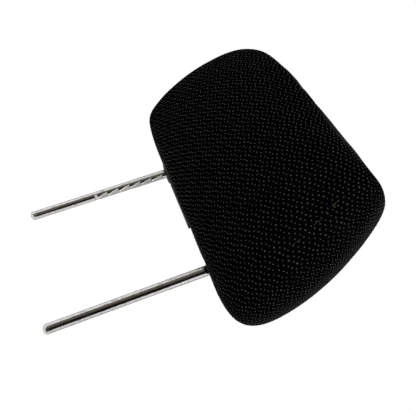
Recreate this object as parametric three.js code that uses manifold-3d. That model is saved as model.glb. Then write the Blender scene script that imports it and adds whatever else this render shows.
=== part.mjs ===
// A car headrest: a slim foam cushion in a sewn fabric cover on a bent, chromed steel hoop.
//
// Millimetres, +Z up, -Y is the side that faces the head, +X is the right seen from the front.
// The origin lies midway between the two rods, level with the lower face of the left rosette.
// The rods point down into the seat back, and the cushion leans forward from them.
//
// The cushion is described in its own leaning frame: x across, t through the thickness with the
// back positive, h along the lean from the bottom to the top.

import * as THREE from 'three';
import { mergeVertices } from 'three/addons/utils/BufferGeometryUtils.js';
import Module from 'manifold-3d';

const wasm = await Module();
wasm.setup();

// The hoop.
const ROD_RADIUS = 5;
const ROD_OFFSET = 68;
const ROD_BELOW = 153;
const HOOP_BEND_RADIUS = 24;
const HOOP_LEAN = THREE.MathUtils.degToRad(37);
const HOOP_LEG_ABOVE = 82;
const HOOP_CORNER_RADIUS = 20;

// The notches of the left leg, counted from the stop notch up.
const STOP_NOTCH_Z = -81.4;
const STOP_NOTCH_WIDTH = 3;
const STOP_NOTCH_DEPTH = 2.6;
const TOOTH_PITCH = 12.8;
const TOOTH_COUNT = 6;
const TOOTH_DEPTH = 2.2;
const TOOTH_RAMP = 11;

// The cushion.
const LEAN = 0.499;
const CUSHION_Y = -3.2;
const CUSHION_Z = 0.4;
const CUSHION_HEIGHT = 163.5;
const HALF_WIDTH = [139.6, 41.4, -69.4];
const THICKNESS = [60, 7.2];
const CORNER_POWER = [3.65, 3.05];
const SIDE_TAPER = 0.047;
const BOTTOM_POWER = [7.1, 7.1];
const TOP_POWER = 14;
const FRONT_BULGE = 19.6;
const FRONT_HOLLOW = -4;
const TOP_CROWN = 1.3;
const BOTTOM_ARCH = 4.2;
const REAR_SWELL = 5;
const UNDERSIDE_LEVEL = 0.83;
const UNDERSIDE_FRONT = -5.5;

// The cover and the foam.
const COVER_WALL = 2.2;
const GAP = 0.3;
const SEAM_GAP = 0.4;
const SEAM_BOTTOM = 20;
const SEAM_TOP = 18;

// The carrier inside the foam, in the plane of the hoop.
const CARRIER_WIDTH = 172;
const CARRIER_LOW = 14;
const CARRIER_HIGH = 92;
const CARRIER_HALF = 9;
const CARRIER_PLATE = 2.4;
const CARRIER_RIB = 2.0;
const CARRIER_SPLIT = 0.3;
const SCREW_X = 40;
const SCREW_ROWS = [30, 62];
const SCREW_RADIUS = 2;
const SCREW_HEAD_RADIUS = 4;
const SCREW_HEAD_HEIGHT = 2.4;
const BOSS_RADIUS = 5;

// The rosettes and the closing strips.
const ROSETTE_RADIUS = 12.8;
const ROSETTE_FLANGE = 2.4;
const COLLAR_RADIUS = 8;
const COLLAR_HEIGHT = 5.5;
const ROD_CLEARANCE = 0.4;
const RIGHT_ROSETTE_LIFT = 3;
// The legs stay straight until they have left the collars.
const HOOP_BEND_START = RIGHT_ROSETTE_LIFT + COLLAR_HEIGHT;
const STRIP_LEFT = -50;
const STRIP_RIGHT = 13;
const STRIP_BOTTOM = 0.3;
const STRIP_FRONT = -7;
const STRIP_UPRIGHT = 4;
const STRIP_REAR = 9;
const STRIP_WALL = 1.5;
const STRIP_HEIGHT = 5;

const chrome = new THREE.MeshStandardMaterial({ color: 0xc4c6c6, roughness: 0.14, metalness: 1 });
const blackCloth = new THREE.MeshStandardMaterial({ color: 0x0b0b0c, roughness: 0.95, metalness: 0 });
const foam = new THREE.MeshStandardMaterial({ color: 0x55534c, roughness: 1, metalness: 0 });
const blackPlastic = new THREE.MeshStandardMaterial({ color: 0x0c0c0d, roughness: 0.45, metalness: 0 });
const carrierPlastic = new THREE.MeshStandardMaterial({ color: 0x2b2b2d, roughness: 0.6, metalness: 0 });
const zincSteel = new THREE.MeshStandardMaterial({ color: 0xa9a79c, roughness: 0.35, metalness: 1 });

// A closed geometry becomes a solid that can be cut and joined.
function solid(geometry) {
  const plain = new THREE.BufferGeometry();
  plain.setAttribute('position', geometry.getAttribute('position').clone());
  if (geometry.index) {
    plain.setIndex(geometry.index.clone());
  }
  const merged = mergeVertices(plain, 1e-4);
  const mesh = new wasm.Mesh({
    numProp: 3,
    vertProperties: new Float32Array(merged.getAttribute('position').array),
    triVerts: new Uint32Array(merged.index.array),
  });
  return new wasm.Manifold(mesh);
}

// A solid goes back to a geometry that can be shown.
function geometryOf(body) {
  const mesh = body.getMesh();
  const geometry = new THREE.BufferGeometry();
  geometry.setAttribute('position', new THREE.BufferAttribute(new Float32Array(mesh.vertProperties), 3));
  geometry.setIndex(new THREE.BufferAttribute(new Uint32Array(mesh.triVerts), 1));
  const flat = geometry.toNonIndexed();
  flat.computeVertexNormals();
  return flat;
}

function meshOf(name, body, material) {
  const mesh = new THREE.Mesh(geometryOf(body), material);
  mesh.name = name;
  return mesh;
}

function boxBetween(low, high) {
  const size = high.clone().sub(low);
  const geometry = new THREE.BoxGeometry(size.x, size.y, size.z);
  geometry.translate(low.x + size.x / 2, low.y + size.y / 2, low.z + size.z / 2);
  return geometry;
}

// A turned shape: the profile runs from the axis at the bottom to the axis at the top, along +Z.
function turned(profile, segments) {
  const points = profile.map(([radius, height]) => new THREE.Vector2(radius, height));
  const geometry = new THREE.LatheGeometry(points, segments);
  geometry.rotateX(Math.PI / 2);
  return geometry;
}

function signedPower(value, exponent) {
  return Math.sign(value) * Math.pow(Math.abs(value), exponent);
}

// One point of the cushion's surface. The share runs from 0 at the bottom to 1 at the top, the
// angle goes around, and the inset moves the whole surface inwards. The underside is rounder along
// its front edge than along its rear one.
function cushionPoint(share, angle, inset) {
  const width = HALF_WIDTH[0] + HALF_WIDTH[1] * share + HALF_WIDTH[2] * share * share - inset;
  const half = (THICKNESS[0] + THICKNESS[1] * share) / 2 - inset;
  const corner = Math.sin(angle) < 0 ? CORNER_POWER[0] : CORNER_POWER[1];
  const across = signedPower(Math.cos(angle), 2 / corner);
  const through = signedPower(Math.sin(angle), 2 / corner);
  const low = BOTTOM_POWER[0] + (BOTTOM_POWER[1] - BOTTOM_POWER[0]) * (1 + through) / 2;
  const power = share < 0.5 ? low : TOP_POWER;
  const ends = Math.pow(1 - Math.pow(Math.abs(2 * share - 1), power), 1 / power);
  const x = width * ends * across * (1 - SIDE_TAPER * (1 + through * ends) / 2);
  const middle = 1 - (x / HALF_WIDTH[0]) ** 2;
  const shoulder = Math.max(0, 1 - (x / HALF_WIDTH[0]) ** 4) ** 2;
  const front = Math.max(0, -through) * ends;
  const rear = Math.max(0, through) * ends;
  const belly = 1 - 4 * (share - 0.5) ** 2;
  let t = half * ends * through;
  t -= front * (FRONT_BULGE * belly - FRONT_HOLLOW * middle);
  t += rear * REAR_SWELL * shoulder * (1 - share) ** 2;
  const run = inset + (CUSHION_HEIGHT - 2 * inset) * share;
  const h = run + TOP_CROWN * middle * share ** 2 + BOTTOM_ARCH * middle * (1 - share) ** 2;
  const level = (t - UNDERSIDE_FRONT) * Math.sin(LEAN) * UNDERSIDE_LEVEL * (1 - share) ** 6;
  return new THREE.Vector3(
    x,
    CUSHION_Y + t * Math.cos(LEAN) - h * Math.sin(LEAN),
    CUSHION_Z + t * Math.sin(LEAN) + h * Math.cos(LEAN) - level,
  );
}

// The closed skin of the cushion at an inset, as rings of points capped at the bottom and top.
function cushionSkin(inset, rings, around) {
  const positions = [];
  for (let ring = 0; ring <= rings; ring += 1) {
    const share = 0.0015 + 0.997 * (1 - Math.cos((Math.PI * ring) / rings)) / 2;
    for (let step = 0; step < around; step += 1) {
      const point = cushionPoint(share, (2 * Math.PI * step) / around, inset);
      positions.push(point.x, point.y, point.z);
    }
  }
  const faces = [];
  for (let ring = 0; ring < rings; ring += 1) {
    for (let step = 0; step < around; step += 1) {
      const next = (step + 1) % around;
      const low = ring * around;
      const high = low + around;
      faces.push(low + step, low + next, high + next);
      faces.push(low + step, high + next, high + step);
    }
  }
  // Each end is closed by strips between the front and the back half of its ring.
  const top = rings * around;
  for (let step = 0; step < around / 2; step += 1) {
    const a = step;
    const b = step + 1;
    const c = (around - step - 1) % around;
    const d = (around - step) % around;
    for (const [base, flip] of [[0, true], [top, false]]) {
      for (const [p, q, r] of [[a, b, c], [a, c, d]]) {
        if (p !== q && q !== r && p !== r) {
          faces.push(base + p, base + (flip ? r : q), base + (flip ? q : r));
        }
      }
    }
  }
  const geometry = new THREE.BufferGeometry();
  geometry.setAttribute('position', new THREE.Float32BufferAttribute(positions, 3));
  geometry.setIndex(faces);
  return geometry;
}

// The frame of the cushion as a matrix, for things that are cut along its lean.
function cushionFrame() {
  const matrix = new THREE.Matrix4().makeRotationX(LEAN);
  matrix.setPosition(0, CUSHION_Y, CUSHION_Z);
  return matrix;
}

// The frame of the hoop's upper plane: x across, y to the back, z up along the legs.
function hoopFrame() {
  const centre = new THREE.Vector3(0, -HOOP_BEND_RADIUS, HOOP_BEND_START);
  const arm = new THREE.Vector3(0, Math.cos(HOOP_LEAN), Math.sin(HOOP_LEAN));
  const matrix = new THREE.Matrix4().makeRotationX(HOOP_LEAN);
  matrix.setPosition(centre.addScaledVector(arm, HOOP_BEND_RADIUS));
  return matrix;
}

// A bar of round section through stations of a centre, a direction and a radius.
function roundBar(stations, segments) {
  const positions = [];
  const normal = new THREE.Vector3(1, 0, 0);
  const turn = new THREE.Quaternion();
  let last = null;
  for (const { centre, along, radius } of stations) {
    if (last) {
      turn.setFromUnitVectors(last, along);
      normal.applyQuaternion(turn);
    }
    last = along;
    const binormal = new THREE.Vector3().crossVectors(along, normal).normalize();
    for (let step = 0; step < segments; step += 1) {
      const angle = (2 * Math.PI * step) / segments;
      const point = centre.clone();
      point.addScaledVector(normal, radius * Math.cos(angle));
      point.addScaledVector(binormal, radius * Math.sin(angle));
      positions.push(point.x, point.y, point.z);
    }
  }
  const faces = [];
  for (let ring = 0; ring < stations.length - 1; ring += 1) {
    for (let step = 0; step < segments; step += 1) {
      const next = (step + 1) % segments;
      const low = ring * segments;
      const high = low + segments;
      faces.push(low + step, low + next, high + next);
      faces.push(low + step, high + next, high + step);
    }
  }
  const end = (stations.length - 1) * segments;
  for (let step = 1; step < segments - 1; step += 1) {
    faces.push(0, step + 1, step);
    faces.push(end, end + step, end + step + 1);
  }
  const geometry = new THREE.BufferGeometry();
  geometry.setAttribute('position', new THREE.Float32BufferAttribute(positions, 3));
  geometry.setIndex(faces);
  return geometry;
}

// The stations of the hoop, from the left tip over the cross bar to the right tip. Extra is added
// to every radius, so the same line also makes the room that the hoop needs.
function hoopStations(extra) {
  const frame = hoopFrame();
  const upperTurn = new THREE.Quaternion().setFromRotationMatrix(frame);
  const half = [];
  const tipShape = [[0, 0.44], [0.5, 0.72], [1.4, 0.9], [2.8, 1]];
  for (const [rise, share] of tipShape) {
    half.push({
      centre: new THREE.Vector3(ROD_OFFSET, 0, -ROD_BELOW + rise),
      along: new THREE.Vector3(0, 0, 1),
      radius: ROD_RADIUS * share + extra,
    });
  }
  const bendSteps = 6;
  for (let step = 0; step <= bendSteps; step += 1) {
    const turn = (HOOP_LEAN * step) / bendSteps;
    half.push({
      centre: new THREE.Vector3(
        ROD_OFFSET,
        HOOP_BEND_RADIUS * (Math.cos(turn) - 1),
        HOOP_BEND_START + HOOP_BEND_RADIUS * Math.sin(turn),
      ),
      along: new THREE.Vector3(0, -Math.sin(turn), Math.cos(turn)),
      radius: ROD_RADIUS + extra,
    });
  }
  const cornerSteps = 7;
  for (let step = 0; step <= cornerSteps; step += 1) {
    const turn = (Math.PI * step) / (2 * cornerSteps);
    half.push({
      centre: new THREE.Vector3(
        ROD_OFFSET - HOOP_CORNER_RADIUS * (1 - Math.cos(turn)),
        0,
        HOOP_LEG_ABOVE - HOOP_CORNER_RADIUS * (1 - Math.sin(turn)),
      ).applyMatrix4(frame),
      along: new THREE.Vector3(-Math.sin(turn), 0, Math.cos(turn)).applyQuaternion(upperTurn),
      radius: ROD_RADIUS + extra,
    });
  }
  // The left half mirrors the right one and is walked the same way, so the order turns around.
  const mirrored = half.map(({ centre, along, radius }) => ({
    centre: new THREE.Vector3(-centre.x, centre.y, centre.z),
    along: new THREE.Vector3(-along.x, along.y, along.z),
    radius,
  }));
  const back = half.reverse().map(({ centre, along, radius }) => ({
    centre,
    along: along.clone().negate(),
    radius,
  }));
  return [...mirrored, ...back];
}

const hoopRoom = solid(roundBar(hoopStations(GAP + 0.1), 12));
const notchedSide = -ROD_OFFSET + ROD_RADIUS;

// A prism along Y from a profile of x and z.
function crossPrism(profile, reach) {
  const shape = new THREE.Shape(profile.map(([x, z]) => new THREE.Vector2(x, z)));
  const geometry = new THREE.ExtrudeGeometry(shape, { depth: 2 * reach, bevelEnabled: false });
  geometry.rotateX(Math.PI / 2);
  geometry.translate(0, reach, 0);
  return geometry;
}

function makeHoop() {
  let hoop = solid(roundBar(hoopStations(0), 24));
  const outside = notchedSide + 2;
  const stopFloor = notchedSide - STOP_NOTCH_DEPTH;
  const stopLow = STOP_NOTCH_Z - STOP_NOTCH_WIDTH / 2;
  const stopHigh = STOP_NOTCH_Z + STOP_NOTCH_WIDTH / 2;
  hoop = hoop.subtract(solid(crossPrism([
    [outside, stopLow],
    [outside, stopHigh],
    [stopFloor, stopHigh],
    [stopFloor, stopLow],
  ], 2 * ROD_RADIUS)));
  // Each ratchet cut starts at nothing, deepens towards the cushion and ends in a sharp step.
  for (let tooth = 1; tooth <= TOOTH_COUNT; tooth += 1) {
    const step = STOP_NOTCH_Z + tooth * TOOTH_PITCH;
    hoop = hoop.subtract(solid(crossPrism([
      [notchedSide, step - TOOTH_RAMP],
      [outside, step - TOOTH_RAMP],
      [outside, step],
      [notchedSide - TOOTH_DEPTH, step],
    ], 2 * ROD_RADIUS)));
  }
  return hoop;
}

// The rosette of a rod: a domed flange under the cloth and a collar that reaches into the foam.
function rosetteProfile(extra) {
  const hole = ROD_RADIUS + ROD_CLEARANCE - extra;
  const rim = ROSETTE_RADIUS + extra;
  const collar = COLLAR_RADIUS + extra;
  return [
    [hole, 0.5 - extra],
    [hole + 0.8, -extra],
    [rim - 2.2, -extra],
    [rim - 0.7, 0.5 - extra],
    [rim, 1.5],
    [rim - 0.2, ROSETTE_FLANGE + extra],
    [collar, ROSETTE_FLANGE + extra],
    [collar, COLLAR_HEIGHT + extra],
    [hole, COLLAR_HEIGHT + extra],
    [hole, 0.5 - extra],
  ];
}

function rosetteAt(side, lift) {
  const geometry = turned(rosetteProfile(0), 32);
  geometry.translate(side * ROD_OFFSET, 0, lift);
  return solid(geometry);
}

// The room that a rosette takes out of the cloth and the foam.
function rosetteRoom(side, lift) {
  const flange = new THREE.CylinderGeometry(
    ROSETTE_RADIUS + GAP,
    ROSETTE_RADIUS + GAP,
    10 + ROSETTE_FLANGE + GAP,
    40,
  );
  flange.rotateX(Math.PI / 2);
  flange.translate(side * ROD_OFFSET, 0, lift + (ROSETTE_FLANGE + GAP - 10) / 2);
  const collar = new THREE.CylinderGeometry(COLLAR_RADIUS + GAP, COLLAR_RADIUS + GAP, 20, 24);
  collar.rotateX(Math.PI / 2);
  collar.translate(side * ROD_OFFSET, 0, lift + COLLAR_HEIGHT + GAP - 10);
  return solid(flange).add(solid(collar));
}

// A strip along X from a profile of y and z.
function stripAlong(profile) {
  const shape = new THREE.Shape(profile.map(([y, z]) => new THREE.Vector2(y, z)));
  const length = STRIP_RIGHT - STRIP_LEFT;
  const geometry = new THREE.ExtrudeGeometry(shape, { depth: length, bevelEnabled: false });
  const toRow = new THREE.Matrix4().makeBasis(
    new THREE.Vector3(0, 1, 0),
    new THREE.Vector3(0, 0, 1),
    new THREE.Vector3(1, 0, 0),
  );
  geometry.applyMatrix4(toRow);
  geometry.translate(STRIP_LEFT, 0, 0);
  return solid(geometry);
}

const uprightTop = STRIP_BOTTOM + STRIP_HEIGHT;
const webLow = uprightTop + GAP;
const prongFront = STRIP_UPRIGHT - 2 * STRIP_WALL - GAP;

// The lower strip is an L with its upright at the rear edge.
function makeHookStrip() {
  return stripAlong([
    [STRIP_FRONT, STRIP_BOTTOM],
    [STRIP_UPRIGHT, STRIP_BOTTOM],
    [STRIP_UPRIGHT, uprightTop],
    [STRIP_UPRIGHT - STRIP_WALL, uprightTop],
    [STRIP_UPRIGHT - STRIP_WALL, STRIP_BOTTOM + STRIP_WALL],
    [STRIP_FRONT, STRIP_BOTTOM + STRIP_WALL],
  ]);
}

// The upper strip reaches over the upright and hooks down in front of it.
function makeCatchStrip() {
  const prongLow = STRIP_BOTTOM + STRIP_WALL + GAP;
  return stripAlong([
    [prongFront, prongLow],
    [prongFront + STRIP_WALL, prongLow],
    [prongFront + STRIP_WALL, webLow],
    [STRIP_REAR, webLow],
    [STRIP_REAR, webLow + STRIP_WALL],
    [prongFront, webLow + STRIP_WALL],
  ]);
}

// The room of the strips: the slot that they close, and the space of the upper strip's web.
function stripRoom(front, rear, low, high) {
  return solid(boxBetween(
    new THREE.Vector3(STRIP_LEFT - GAP, front - GAP, low - GAP),
    new THREE.Vector3(STRIP_RIGHT + GAP, rear + GAP, high + GAP),
  ));
}

// The half space behind the seam of the cover, as a slab that leans with the cushion.
function behindSeam(shift) {
  const slope = (SEAM_BOTTOM - SEAM_TOP) / (CUSHION_HEIGHT + 10);
  const shape = new THREE.Shape([
    new THREE.Vector2(SEAM_BOTTOM + shift + slope * 50, -60),
    new THREE.Vector2(120, -60),
    new THREE.Vector2(120, CUSHION_HEIGHT + 60),
    new THREE.Vector2(SEAM_TOP + shift - slope * 60, CUSHION_HEIGHT + 60),
  ]);
  const geometry = new THREE.ExtrudeGeometry(shape, { depth: 400, bevelEnabled: false });
  const toCushion = new THREE.Matrix4().makeBasis(
    new THREE.Vector3(0, 1, 0),
    new THREE.Vector3(0, 0, 1),
    new THREE.Vector3(1, 0, 0),
  );
  geometry.applyMatrix4(toCushion);
  geometry.translate(-200, 0, 0);
  geometry.applyMatrix4(cushionFrame());
  return solid(geometry);
}

// Everything behind the plane of the hoop, for the two foam blocks.
function behindHoop(shift) {
  const geometry = boxBetween(
    new THREE.Vector3(-250, shift, -150),
    new THREE.Vector3(250, 200, 250),
  );
  geometry.applyMatrix4(hoopFrame());
  return solid(geometry);
}

// A round post of the carrier along the thickness, from one depth to another.
function post(x, z, radius, from, to, segments) {
  const geometry = new THREE.CylinderGeometry(radius, radius, to - from, segments);
  geometry.translate(x, (from + to) / 2, z);
  return geometry;
}

const screwPlaces = [];
for (const z of SCREW_ROWS) {
  for (const x of [-SCREW_X, SCREW_X]) {
    screwPlaces.push([x, z]);
  }
}

// One half of the carrier, drawn in the frame of the hoop. The side is -1 for the front shell and
// 1 for the rear one.
function makeCarrierShell(side) {
  const outer = side * CARRIER_HALF;
  const inner = side * CARRIER_SPLIT / 2;
  const reach = CARRIER_WIDTH / 2;
  const slab = (xLow, xHigh, yOne, yTwo, zLow, zHigh) => solid(boxBetween(
    new THREE.Vector3(xLow, Math.min(yOne, yTwo), zLow),
    new THREE.Vector3(xHigh, Math.max(yOne, yTwo), zHigh),
  ));
  const plateInner = side * (CARRIER_HALF - CARRIER_PLATE);
  let shell = slab(-reach, reach, outer, plateInner, CARRIER_LOW, CARRIER_HIGH);
  const half = CARRIER_RIB / 2;
  for (const x of [-reach + half, -54, -20, 20, 54, reach - half]) {
    shell = shell.add(slab(x - half, x + half, outer, inner, CARRIER_LOW, CARRIER_HIGH));
  }
  for (const z of [CARRIER_LOW + half, 46, CARRIER_HIGH - half]) {
    shell = shell.add(slab(-reach, reach, outer, inner, z - half, z + half));
  }
  for (const [x, z] of screwPlaces) {
    const low = Math.min(outer, inner);
    shell = shell.add(solid(post(x, z, BOSS_RADIUS, low, low + CARRIER_HALF - CARRIER_SPLIT / 2, 16)));
  }
  for (const [x, z] of screwPlaces) {
    const low = side < 0 ? -CARRIER_HALF + CARRIER_PLATE : -1;
    shell = shell.subtract(solid(post(x, z, SCREW_RADIUS + GAP, low, CARRIER_HALF + 1, 12)));
  }
  // The corners of the moulding are cut off, clear of the hoop.
  for (const x of [-reach, reach]) {
    for (const z of [CARRIER_LOW, CARRIER_HIGH]) {
      const cut = new THREE.BoxGeometry(12, 4 * CARRIER_HALF, 12);
      cut.rotateY(Math.PI / 4);
      cut.translate(x, 0, z);
      shell = shell.subtract(solid(cut));
    }
  }
  const room = roundBar(hoopStations(GAP + 0.1), 12);
  room.applyMatrix4(hoopFrame().invert());
  return shell.subtract(solid(room));
}

// A pan head screw from the rear shell into the front one, in the frame of the hoop.
function makeScrew(x, z) {
  const length = 2 * CARRIER_HALF - CARRIER_PLATE - 1;
  const geometry = turned([
    [0, -length],
    [SCREW_RADIUS * 0.4, -length],
    [SCREW_RADIUS, -length + 2],
    [SCREW_RADIUS, GAP],
    [SCREW_HEAD_RADIUS, GAP],
    [SCREW_HEAD_RADIUS, GAP + SCREW_HEAD_HEIGHT * 0.5],
    [SCREW_HEAD_RADIUS * 0.7, GAP + SCREW_HEAD_HEIGHT],
    [0, GAP + SCREW_HEAD_HEIGHT],
  ], 16);
  geometry.rotateX(-Math.PI / 2);
  geometry.translate(x, CARRIER_HALF, z);
  let screw = solid(geometry);
  for (const turn of [0, Math.PI / 2]) {
    const slot = new THREE.BoxGeometry(0.9, 1.4, 4.4);
    slot.rotateY(turn);
    slot.translate(x, CARRIER_HALF + GAP + SCREW_HEAD_HEIGHT, z);
    screw = screw.subtract(solid(slot));
  }
  return screw;
}

// The room of the carrier and its screw heads in the foam.
function carrierRoom() {
  const reach = CARRIER_WIDTH / 2 + GAP;
  const deep = CARRIER_HALF + GAP;
  const envelope = boxBetween(
    new THREE.Vector3(-reach, -deep, CARRIER_LOW - GAP),
    new THREE.Vector3(reach, deep, CARRIER_HIGH + GAP),
  );
  envelope.applyMatrix4(hoopFrame());
  let room = solid(envelope);
  const headTop = CARRIER_HALF + 2 * GAP + SCREW_HEAD_HEIGHT;
  for (const [x, z] of screwPlaces) {
    const head = post(x, z, SCREW_HEAD_RADIUS + GAP, 0, headTop, 12);
    head.applyMatrix4(hoopFrame());
    room = room.add(solid(head));
  }
  return room;
}

const rosetteSpace = rosetteRoom(-1, 0).add(rosetteRoom(1, RIGHT_ROSETTE_LIFT));
const stripSpace = stripRoom(STRIP_FRONT, STRIP_UPRIGHT, -12, webLow + STRIP_WALL)
  .add(stripRoom(prongFront, STRIP_REAR, webLow, webLow + STRIP_WALL));

// The cover is a skin of even thickness with holes for the rods and a slot for the strips.
const coverOutside = solid(cushionSkin(0, 26, 52));
const coverInside = solid(cushionSkin(COVER_WALL, 16, 36));
const cover = coverOutside
  .subtract(coverInside)
  .subtract(rosetteSpace)
  .subtract(stripSpace);
const coverFront = cover.subtract(behindSeam(-SEAM_GAP / 2));
const coverRear = cover.intersect(behindSeam(SEAM_GAP / 2));

const foamWhole = solid(cushionSkin(COVER_WALL + GAP + 0.9, 14, 32))
  .subtract(rosetteSpace)
  .subtract(stripSpace)
  .subtract(hoopRoom)
  .subtract(carrierRoom());
const foamFront = foamWhole.subtract(behindHoop(-GAP / 2));
const foamRear = foamWhole.intersect(behindHoop(GAP / 2));

const headrest = new THREE.Group();
headrest.add(meshOf('rod_hoop', makeHoop(), chrome));

// The carrier and its screws are turned into the plane of the hoop as one group.
const carrier = new THREE.Group();
carrier.applyMatrix4(hoopFrame());
carrier.add(meshOf('carrier_front_shell', makeCarrierShell(-1), carrierPlastic));
carrier.add(meshOf('carrier_rear_shell', makeCarrierShell(1), carrierPlastic));
screwPlaces.forEach(([x, z], index) => {
  carrier.add(meshOf(`carrier_screw_${index + 1}`, makeScrew(x, z), zincSteel));
});
headrest.add(carrier);

const cushion = new THREE.Group();
cushion.add(meshOf('foam_front_block', foamFront, foam));
cushion.add(meshOf('foam_rear_block', foamRear, foam));
cushion.add(meshOf('cover_front_panel', coverFront, blackCloth));
cushion.add(meshOf('cover_rear_panel', coverRear, blackCloth));
headrest.add(cushion);

const trim = new THREE.Group();
trim.add(meshOf('closure_hook_strip', makeHookStrip(), blackPlastic));
trim.add(meshOf('closure_catch_strip', makeCatchStrip(), blackPlastic));
trim.add(meshOf('rod_rosette_left', rosetteAt(-1, 0), blackPlastic));
trim.add(meshOf('rod_rosette_right', rosetteAt(1, RIGHT_ROSETTE_LIFT), blackPlastic));
headrest.add(trim);

export default headrest;
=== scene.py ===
"""A car headrest in dotted black cloth on a chromed hoop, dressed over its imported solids.

Sizes are in millimetres in the row frame, and they become metres where a mesh is made.
"""

import math
import random

import bmesh
import bpy
import numpy as np
from mathutils import Matrix, Vector, kdtree
from mathutils.bvhtree import BVHTree


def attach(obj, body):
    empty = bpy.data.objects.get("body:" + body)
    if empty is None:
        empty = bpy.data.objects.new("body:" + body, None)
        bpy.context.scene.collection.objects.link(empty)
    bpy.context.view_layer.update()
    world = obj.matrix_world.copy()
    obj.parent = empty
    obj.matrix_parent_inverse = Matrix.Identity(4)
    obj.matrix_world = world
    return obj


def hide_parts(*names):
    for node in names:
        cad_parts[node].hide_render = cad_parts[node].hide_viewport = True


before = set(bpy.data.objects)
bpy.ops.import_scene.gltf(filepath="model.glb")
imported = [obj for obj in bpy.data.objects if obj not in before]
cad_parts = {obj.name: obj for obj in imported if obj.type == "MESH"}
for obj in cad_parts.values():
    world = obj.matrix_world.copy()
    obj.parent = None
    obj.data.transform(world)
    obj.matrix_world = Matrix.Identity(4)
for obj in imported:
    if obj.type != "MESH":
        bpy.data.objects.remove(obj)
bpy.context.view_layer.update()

MM = 0.001

# The cushion, with the same numbers as the part's source.
LEAN = 0.499
CUSHION_Y = -3.2
CUSHION_Z = 0.4
CUSHION_HEIGHT = 163.5
HALF_WIDTH = (139.6, 41.4, -69.4)
THICKNESS = (60, 7.2)
CORNER_POWER = (3.65, 3.05)
SIDE_TAPER = 0.047
BOTTOM_POWER = 7.1
TOP_POWER = 14
FRONT_BULGE = 19.6
FRONT_HOLLOW = -4
TOP_CROWN = 1.3
BOTTOM_ARCH = 4.2
REAR_SWELL = 5
UNDERSIDE_LEVEL = 0.83
UNDERSIDE_FRONT = -5.5
SEAM_BOTTOM = 20
SEAM_TOP = 18

# The hoop, its notches, the rosettes and the strips, with the same numbers too.
ROD_RADIUS = 5
ROD_OFFSET = 68
ROD_BELOW = 153
TIP_HEIGHT = 3
TIP_FLAT = 0.44
HOOP_BEND_RADIUS = 24
HOOP_LEAN = math.radians(37)
HOOP_LEG_ABOVE = 82
HOOP_CORNER_RADIUS = 20
HOOP_SIDES = 56
NOTCH_EDGE = 0.25
STOP_NOTCH_Z = -81.4
STOP_NOTCH_WIDTH = 3
STOP_NOTCH_DEPTH = 2.6
TOOTH_PITCH = 12.8
TOOTH_COUNT = 6
TOOTH_STEPS = [STOP_NOTCH_Z + tooth * TOOTH_PITCH for tooth in range(1, TOOTH_COUNT + 1)]
TOOTH_DEPTH = 2.2
TOOTH_RAMP = 11
ROSETTE_RADIUS = 12.8
ROSETTE_FLANGE = 2.4
COLLAR_RADIUS = 8
COLLAR_HEIGHT = 5.5
ROD_CLEARANCE = 0.4
RIGHT_ROSETTE_LIFT = 3
HOOP_BEND_START = RIGHT_ROSETTE_LIFT + COLLAR_HEIGHT
STRIP_LEFT = -50
STRIP_RIGHT = 13
STRIP_FRONT = -7
STRIP_UPRIGHT = 4
SLOT_GAP = 0.3
ROD_OPENING = 9.9
UNDERSIDE_TOP = 12

# How the skin is divided.
RINGS = 104
QUARTER_STEPS = 60
FLATTEST_END = 0.09

# The cloth.
SWELL_START = 0.9
SWELL_LEAD = 1.2
SWELL_CAP = 1.9
VOXEL = 4.0
SIM_FRAMES = 20
CLOTH_SETTINGS = dict(
    quality=6, mass=0.3, tension_stiffness=12, compression_stiffness=12, shear_stiffness=6,
    bending_stiffness=1.5, use_pressure=True, uniform_pressure_force=4, vertex_group_mass="held")
SEAM_HALF_GAP = 0.2
SEAM_ROLL = 1.5
SEAM_CLEAR = 1.5
CLOTH_THICKNESS = 1.6
PUCKER = 0.22
PUCKER_LENGTH = 8.5
PUCKER_REACH = 7.0
STITCH_PITCH = 3.2

# Where the stuffed corners stand out or in: a place, an amount and a reach.
CORNER_FILL = (
    ((-129, -34, 8), 3.6, 15),
    ((-129, -52, 22), 0.8, 15),
    ((-86, -23, 0), -0.7, 16),
    ((101, -85, 141), 1.6, 14),
    ((80, -104, 132), -0.6, 20),
    ((-98, -104, 125), -0.9, 13),
    ((-112, -98, 112), 0.9, 13),
    ((-44, -109, 130), 2.4, 30),
    ((-116, -95, 97), 1.1, 17),
    ((-129, -72, 48), -0.6, 22),
    ((45, -108, 130), -0.8, 26),
)

# The dots: a lattice of two steps, in which two of every four dots are shifted.
DOT_STEP_A = (0.72, -5.02)
DOT_STEP_B = (2.51, 2.51)
DOT_SHIFT = 0.22
SIDE_SLACK = 0.75
SLACK_FROM = -0.62
SLACK_TO = -0.3
DOT_STRAY = 0.07
DOT_SIDES = 6
DOT_LONG = 0.65
DOT_SHORT = 0.51
DOT_HEIGHT = 0.2

# A painted sheen: the cloth of the right side, behind the ridge, is coloured paler and hazy.
PAINTED_SHEEN_SIDE = (80, 115)
PAINTED_SHEEN_DEPTH = (-24, 8)
PAINTED_SHEEN_DARK = (0.008, 0.007, 0.0085)
PAINTED_SHEEN_LIGHT = (0.04, 0.035, 0.042)

# The camera, from a fit to the photograph.
CAMERA_PLACE = (0.25006, -0.32981, -0.03663)
CAMERA_RIGHT = (0.34466, 0.08, 0.93531)
CAMERA_DOWN = (0.72355, 0.61214, -0.31899)
CAMERA_FORWARD = (-0.59806, 0.78669, 0.1531)
CAMERA_LENS = 34.415
SENSOR = 36
PICTURE = 416
HALF_PIXEL = 0.5 / PICTURE

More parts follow.
